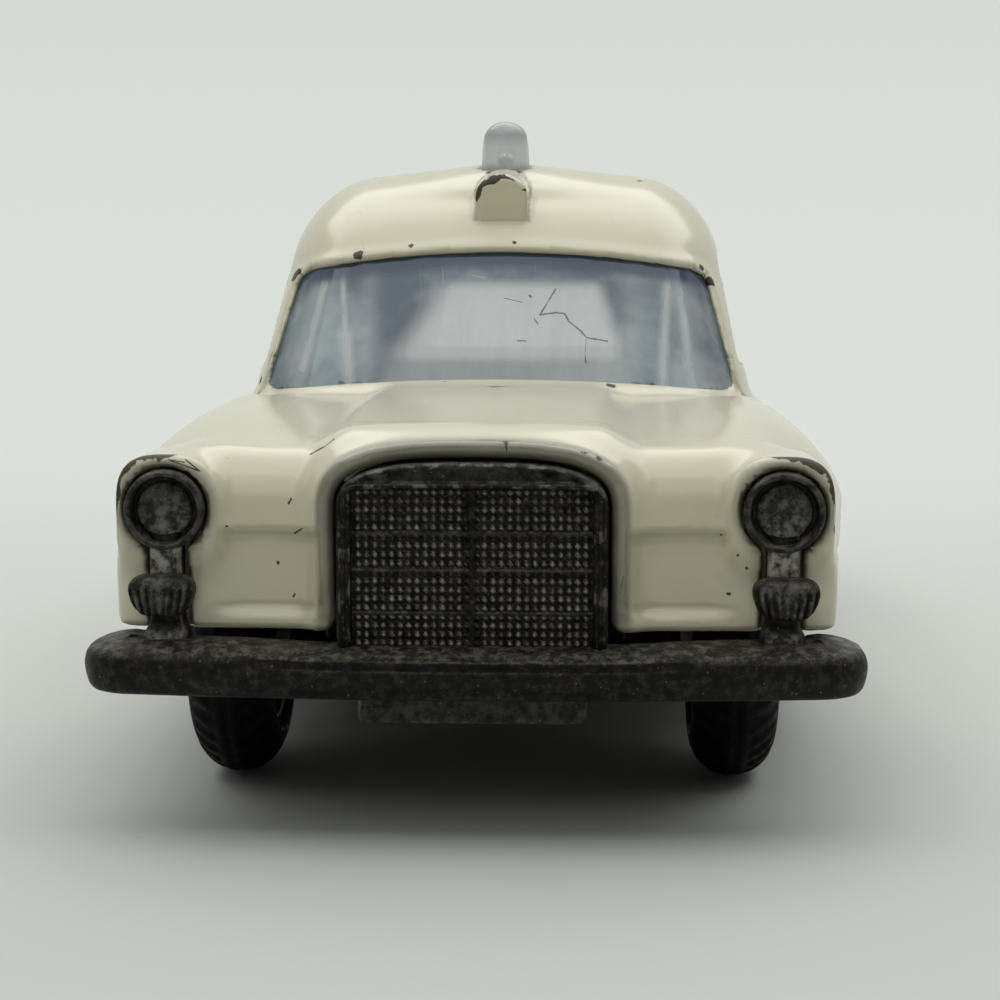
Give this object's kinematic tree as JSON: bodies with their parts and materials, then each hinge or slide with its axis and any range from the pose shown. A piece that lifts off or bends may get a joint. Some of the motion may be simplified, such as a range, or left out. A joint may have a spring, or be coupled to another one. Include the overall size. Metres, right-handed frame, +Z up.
{
  "type": "toy ambulance",
  "caption": "Small die-cast toy ambulance with a raised roof, a roof beacon, a lifting tailgate, a stretcher inside and wheels that roll on plain axles.",
  "frame": {"origin": "on the ground plane under the middle of the car, halfway between the faces of the two bumpers", "axes": "+Z up, the nose points towards -Y and the tail towards +Y, +X is the car's left side"},
  "size_m": [0.029, 0.073, 0.0275],
  "materials": {
    "cream_paint": "worn gloss enamel with small chips",
    "dark_zinc": "dark oxidised bare casting with rubbed edges",
    "clear_blue": "clear blue-tinted moulding, scratched",
    "ivory_plastic": "moulded satin",
    "white_plastic": "moulded satin",
    "steel": "plain drawn wire",
    "hub_plastic": "moulded black",
    "black_tyre": "moulded black with a fine tread"
  },
  "bodies": {
    "car": {"body_shell": "cream_paint", "base_casting": "dark_zinc", "window_moulding": "clear_blue", "interior_moulding": "ivory_plastic", "stretcher": "white_plastic", "tailgate_hinge_pin": "steel", "front_rivet": "steel", "rear_rivet": "steel"},
    "tailgate": {"tailgate": "cream_paint", "tailgate_window": "clear_blue"},
    "front_axle": {"front_axle": "steel"},
    "rear_axle": {"rear_axle": "steel"},
    "front_left_wheel": {"front_left_hub": "hub_plastic", "front_left_tyre": "black_tyre"},
    "front_right_wheel": {"front_right_hub": "hub_plastic", "front_right_tyre": "black_tyre"},
    "rear_left_wheel": {"rear_left_hub": "hub_plastic", "rear_left_tyre": "black_tyre"},
    "rear_right_wheel": {"rear_right_hub": "hub_plastic", "rear_right_tyre": "black_tyre"}
  },
  "joints": [
    {"name": "tailgate_hinge", "type": "hinge", "parent": "car", "child": "tailgate", "pos_m": [0, 0.03108, 0.0222], "axis": [1, 0, 0], "range_deg": [0, 80]},
    {"name": "front_axle_spin", "type": "hinge", "parent": "car", "child": "front_axle", "pos_m": [0, -0.0244, 0.0052], "axis": [1, 0, 0], "continuous": true},
    {"name": "rear_axle_spin", "type": "hinge", "parent": "car", "child": "rear_axle", "pos_m": [0, 0.0166, 0.0052], "axis": [1, 0, 0], "continuous": true},
    {"name": "front_left_wheel_spin", "type": "hinge", "parent": "front_axle", "child": "front_left_wheel", "pos_m": [0.0099, -0.0244, 0.0052], "axis": [1, 0, 0], "continuous": true},
    {"name": "front_right_wheel_spin", "type": "hinge", "parent": "front_axle", "child": "front_right_wheel", "pos_m": [-0.0099, -0.0244, 0.0052], "axis": [1, 0, 0], "continuous": true},
    {"name": "rear_left_wheel_spin", "type": "hinge", "parent": "rear_axle", "child": "rear_left_wheel", "pos_m": [0.0099, 0.0166, 0.0052], "axis": [1, 0, 0], "continuous": true},
    {"name": "rear_right_wheel_spin", "type": "hinge", "parent": "rear_axle", "child": "rear_right_wheel", "pos_m": [-0.0099, 0.0166, 0.0052], "axis": [1, 0, 0], "continuous": true}
  ]
}
